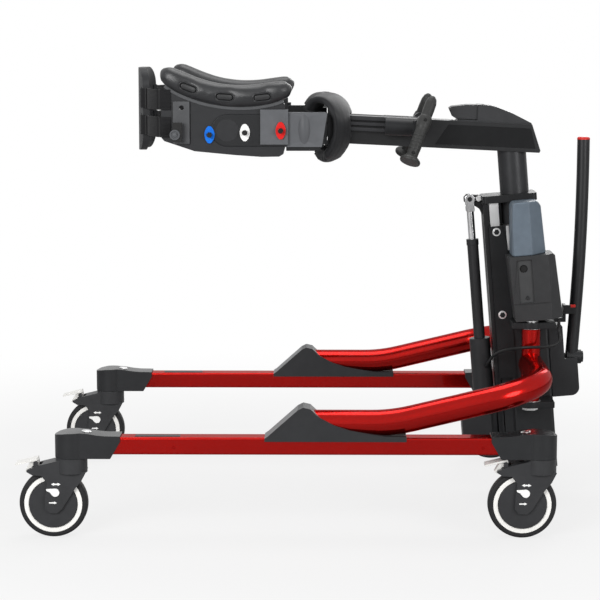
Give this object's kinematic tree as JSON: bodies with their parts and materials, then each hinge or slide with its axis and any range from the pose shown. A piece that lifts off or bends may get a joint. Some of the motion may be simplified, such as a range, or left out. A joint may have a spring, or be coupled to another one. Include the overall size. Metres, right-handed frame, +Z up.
{
  "type": "gait trainer",
  "caption": "Walking frame on swivel casters with a spreading base, a powered mast and a horseshoe chest prompt with side pads, handholds and back strap.",
  "frame": {"origin": "on the floor under the middle of the overall box", "axes": "+X toward the mast and caregiver, +Y the user's left, +Z up"},
  "size_m": [1.0817, 0.759, 0.8526],
  "materials": {
    "black_metal": "black anodised, satin",
    "black_plastic": "fine texture",
    "red_paint": "glossy metallic red",
    "gusset_plastic": "semi-matte",
    "steel": "plated",
    "chrome_rod": "polished",
    "nylon": "white",
    "black_steel": "black powder coat",
    "battery_case": "blue grey",
    "cable": "smooth",
    "post": "dark grey",
    "slide_metal": "clear anodised",
    "cover_plastic": "dark grey",
    "rail_metal": "grey anodised",
    "grip": "moulded",
    "pad_fabric": "padded cover",
    "bar_metal": "grey",
    "shell_plastic": "dark grey",
    "stud_plastic": "coloured",
    "webbing": "woven",
    "back_plastic": "grey",
    "tyre": "black",
    "wheel_core": "white",
    "pedal_steel": "plated"
  },
  "bodies": {
    "base": {"mast_tube": "black_metal", "guide_plates": "black_steel", "guide_glides": "nylon", "mast_fasteners": "steel", "pivot_plates": "black_steel", "spreader_housing": "black_plastic", "actuator_body": "black_plastic", "control_box": "black_plastic", "control_cable": "cable"},
    "battery": {"battery": "battery_case"},
    "lever": {"spreader_lever": "black_metal"},
    "lift": {"lift_post": "post", "lift_head": "black_metal", "lift_channel": "black_metal", "slide_bar": "slide_metal", "actuator_rod": "chrome_rod", "arm_beam": "black_metal", "arm_cover": "cover_plastic", "accessory_rails": "rail_metal", "handhold_clamps": "cover_plastic", "prompt_hub": "black_metal", "front_pad": "pad_fabric"},
    "release": {"release_lever": "cover_plastic"},
    "right_grip": {"right_handhold": "grip"},
    "left_grip": {"left_handhold": "grip"},
    "right_arm": {"right_side_bar": "bar_metal", "right_side_shell": "shell_plastic", "right_side_pad": "pad_fabric", "right_strap_studs": "stud_plastic", "right_straps": "webbing", "back_plate": "back_plastic"},
    "left_arm": {"left_side_bar": "bar_metal", "left_side_shell": "shell_plastic", "left_side_pad": "pad_fabric", "left_strap_studs": "stud_plastic", "left_straps": "webbing"},
    "right_leg": {"right_rail": "red_paint", "right_leg_tube": "red_paint", "right_gusset": "gusset_plastic", "right_housings": "black_plastic"},
    "left_leg": {"left_rail": "red_paint", "left_leg_tube": "red_paint", "left_gusset": "gusset_plastic", "left_housings": "black_plastic"},
    "front_right_caster": {"front_right_fork": "black_plastic"},
    "front_right_wheel": {"front_right_tyre": "tyre", "front_right_core": "wheel_core"},
    "front_right_brake": {"front_right_pedal": "pedal_steel"},
    "front_left_caster": {"front_left_fork": "black_plastic"},
    "front_left_wheel": {"front_left_tyre": "tyre", "front_left_core": "wheel_core"},
    "front_left_brake": {"front_left_pedal": "pedal_steel"},
    "rear_right_caster": {"rear_right_fork": "black_plastic"},
    "rear_right_wheel": {"rear_right_tyre": "tyre", "rear_right_core": "wheel_core"},
    "rear_right_brake": {"rear_right_pedal": "pedal_steel"},
    "rear_left_caster": {"rear_left_fork": "black_plastic"},
    "rear_left_wheel": {"rear_left_tyre": "tyre", "rear_left_core": "wheel_core"},
    "rear_left_brake": {"rear_left_pedal": "pedal_steel"}
  },
  "joints": [
    {"name": "lift", "type": "slide", "parent": "base", "child": "lift", "axis": [-0.0837, 0, 0.9965], "range_m": [-0.04, 0.25]},
    {"name": "battery_lift_off", "type": "slide", "parent": "base", "child": "battery", "axis": [-0.0837, 0, 0.9965], "range_m": [0, 0.12]},
    {"name": "left_leg_swing", "type": "hinge", "parent": "base", "child": "left_leg", "pos_m": [0.422, 0.09, 0.27704], "axis": [0, 0, -1], "range_deg": [0, 12]},
    {"name": "right_leg_swing", "type": "hinge", "parent": "base", "child": "right_leg", "pos_m": [0.422, -0.09, 0.27704], "axis": [0, 0, 1], "range_deg": [0, 12]},
    {"name": "spreader_lever_swing", "type": "hinge", "parent": "base", "child": "lever", "pos_m": [0.515, 0, 0.27804], "axis": [-1, 0, 0], "range_deg": [0, 60]},
    {"name": "release_lever_lift", "type": "hinge", "parent": "lift", "child": "release", "pos_m": [0.32675, 0, 0.77002], "axis": [0, 1, 0], "range_deg": [0, 35], "stiffness_Nm_per_rad": 0.3, "springref_deg": -5.73},
    {"name": "right_handhold_turn", "type": "hinge", "parent": "lift", "child": "right_grip", "pos_m": [0.21135, -0.096, 0.74353], "axis": [0, 1, 0], "range_deg": [-40, 40]},
    {"name": "left_handhold_turn", "type": "hinge", "parent": "lift", "child": "left_grip", "pos_m": [0.21135, 0.096, 0.74353], "axis": [0, 1, 0], "range_deg": [-40, 40]},
    {"name": "right_side_arm_swing", "type": "hinge", "parent": "lift", "child": "right_arm", "pos_m": [0.01415, -0.148, 0.73508], "axis": [0, 0, 1], "range_deg": [0, 65]},
    {"name": "left_side_arm_swing", "type": "hinge", "parent": "lift", "child": "left_arm", "pos_m": [0.01415, 0.148, 0.73508], "axis": [0, 0, -1], "range_deg": [0, 65]},
    {"name": "front_right_swivel", "type": "hinge", "parent": "right_leg", "child": "front_right_caster", "pos_m": [-0.439, -0.35, 0.148], "axis": [0, 0, 1], "continuous": true},
    {"name": "front_right_spin", "type": "hinge", "parent": "front_right_caster", "child": "front_right_wheel", "pos_m": [-0.472, -0.35, 0.0625], "axis": [0, 1, 0], "continuous": true},
    {"name": "front_right_brake_press", "type": "hinge", "parent": "front_right_caster", "child": "front_right_brake", "pos_m": [-0.503, -0.35, 0.138], "axis": [0, -1, 0], "range_deg": [0, 18]},
    {"name": "front_left_swivel", "type": "hinge", "parent": "left_leg", "child": "front_left_caster", "pos_m": [-0.439, 0.35, 0.148], "axis": [0, 0, 1], "continuous": true},
    {"name": "front_left_spin", "type": "hinge", "parent": "front_left_caster", "child": "front_left_wheel", "pos_m": [-0.472, 0.35, 0.0625], "axis": [0, 1, 0], "continuous": true},
    {"name": "front_left_brake_press", "type": "hinge", "parent": "front_left_caster", "child": "front_left_brake", "pos_m": [-0.503, 0.35, 0.138], "axis": [0, -1, 0], "range_deg": [0, 18]},
    {"name": "rear_right_swivel", "type": "hinge", "parent": "right_leg", "child": "rear_right_caster", "pos_m": [0.416, -0.35, 0.148], "axis": [0, 0, 1], "continuous": true},
    {"name": "rear_right_spin", "type": "hinge", "parent": "rear_right_caster", "child": "rear_right_wheel", "pos_m": [0.383, -0.35, 0.0625], "axis": [0, 1, 0], "continuous": true},
    {"name": "rear_right_brake_press", "type": "hinge", "parent": "rear_right_caster", "child": "rear_right_brake", "pos_m": [0.352, -0.35, 0.138], "axis": [0, -1, 0], "range_deg": [0, 18]},
    {"name": "rear_left_swivel", "type": "hinge", "parent": "left_leg", "child": "rear_left_caster", "pos_m": [0.416, 0.35, 0.148], "axis": [0, 0, 1], "continuous": true},
    {"name": "rear_left_spin", "type": "hinge", "parent": "rear_left_caster", "child": "rear_left_wheel", "pos_m": [0.383, 0.35, 0.0625], "axis": [0, 1, 0], "continuous": true},
    {"name": "rear_left_brake_press", "type": "hinge", "parent": "rear_left_caster", "child": "rear_left_brake", "pos_m": [0.352, 0.35, 0.138], "axis": [0, -1, 0], "range_deg": [0, 18]}
  ],
  "couplings": [
    {"joint": "right_leg_swing", "follows": "left_leg_swing", "ratio": 1},
    {"joint": "spreader_lever_swing", "follows": "left_leg_swing", "ratio": 5}
  ]
}
